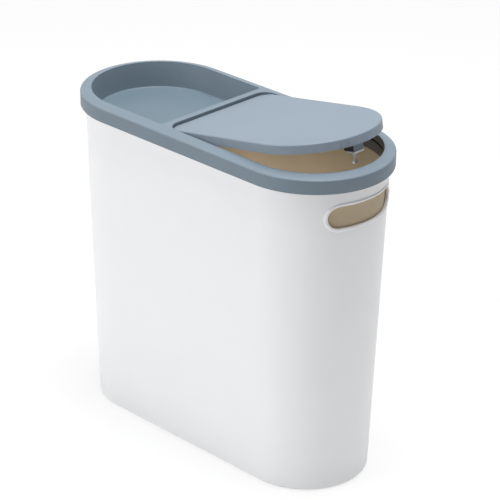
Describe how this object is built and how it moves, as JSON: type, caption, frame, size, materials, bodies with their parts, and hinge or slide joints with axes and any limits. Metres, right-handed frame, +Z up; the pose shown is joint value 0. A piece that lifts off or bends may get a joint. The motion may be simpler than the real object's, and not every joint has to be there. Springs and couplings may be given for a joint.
{
  "type": "push top countertop bin",
  "caption": "Slim racetrack-plan countertop bin with lift-out liner, bag ring, storage tray in the top frame and a sprung push-latch lid.",
  "frame": {"origin": "middle of the foot, on the surface that the bin stands on", "axes": "+X along the long side towards the lid's end, +Y across the bin, +Z up"},
  "size_m": [0.322, 0.1392, 0.3274],
  "materials": {
    "white_shell": "satin",
    "tan_liner": "matt",
    "dark_ring": "matt",
    "slate_frame": "matt",
    "grey_lid": "fine matt grain",
    "white_latch": "matt",
    "dark_latch": "matt",
    "steel": "drawn"
  },
  "bodies": {
    "outer_bin": {"outer_bin": "white_shell"},
    "liner": {"inner_liner": "tan_liner"},
    "ring": {"bag_ring": "dark_ring"},
    "top": {"top_frame": "slate_frame", "latch_housing": "dark_latch", "latch_cover": "dark_latch", "latch_spring": "steel", "latch_screws": "steel"},
    "lid": {"lid_cover": "grey_lid", "lid_panel": "slate_frame", "lid_screws": "steel", "hinge_pin_left": "steel", "hinge_pin_right": "steel", "hinge_spring_left": "steel", "hinge_spring_right": "steel", "latch_striker": "white_latch", "striker_screw": "steel"},
    "latch": {"latch_slide": "white_latch", "jaw_pins": "steel"},
    "jaw_left": {"latch_jaw_left": "white_latch"},
    "jaw_right": {"latch_jaw_right": "white_latch"}
  },
  "joints": [
    {"name": "liner_lift", "type": "slide", "parent": "outer_bin", "child": "liner", "axis": [0, 0, 1], "range_m": [0, 0.3]},
    {"name": "ring_lift", "type": "slide", "parent": "liner", "child": "ring", "axis": [0, 0, 1], "range_m": [0, 0.05]},
    {"name": "top_lift", "type": "slide", "parent": "ring", "child": "top", "axis": [0, 0, 1], "range_m": [0, 0.1]},
    {"name": "lid_hinge", "type": "hinge", "parent": "top", "child": "lid", "pos_m": [-0.0086, 0, 0.2948], "axis": [0, -1, 0], "range_deg": [-10.9, 80], "stiffness_Nm_per_rad": 0.08, "springref_deg": 40.11},
    {"name": "latch_push", "type": "slide", "parent": "top", "child": "latch", "axis": [0, 0, -1], "range_m": [0, 0.0025], "stiffness_N_per_m": 200, "springref_m": -0.003, "deforming": ["latch_spring"]},
    {"name": "jaw_left_turn", "type": "hinge", "parent": "latch", "child": "jaw_left", "pos_m": [0.1374, 0.005, 0.2618], "axis": [1, 0, 0], "range_deg": [0, 12.1]},
    {"name": "jaw_right_turn", "type": "hinge", "parent": "latch", "child": "jaw_right", "pos_m": [0.1374, -0.005, 0.2618], "axis": [-1, 0, 0], "range_deg": [0, 12.1]}
  ],
  "couplings": [
    {"joint": "jaw_left_turn", "follows": "latch_push", "rad_per_m": 83.776},
    {"joint": "jaw_right_turn", "follows": "latch_push", "rad_per_m": 83.776}
  ]
}
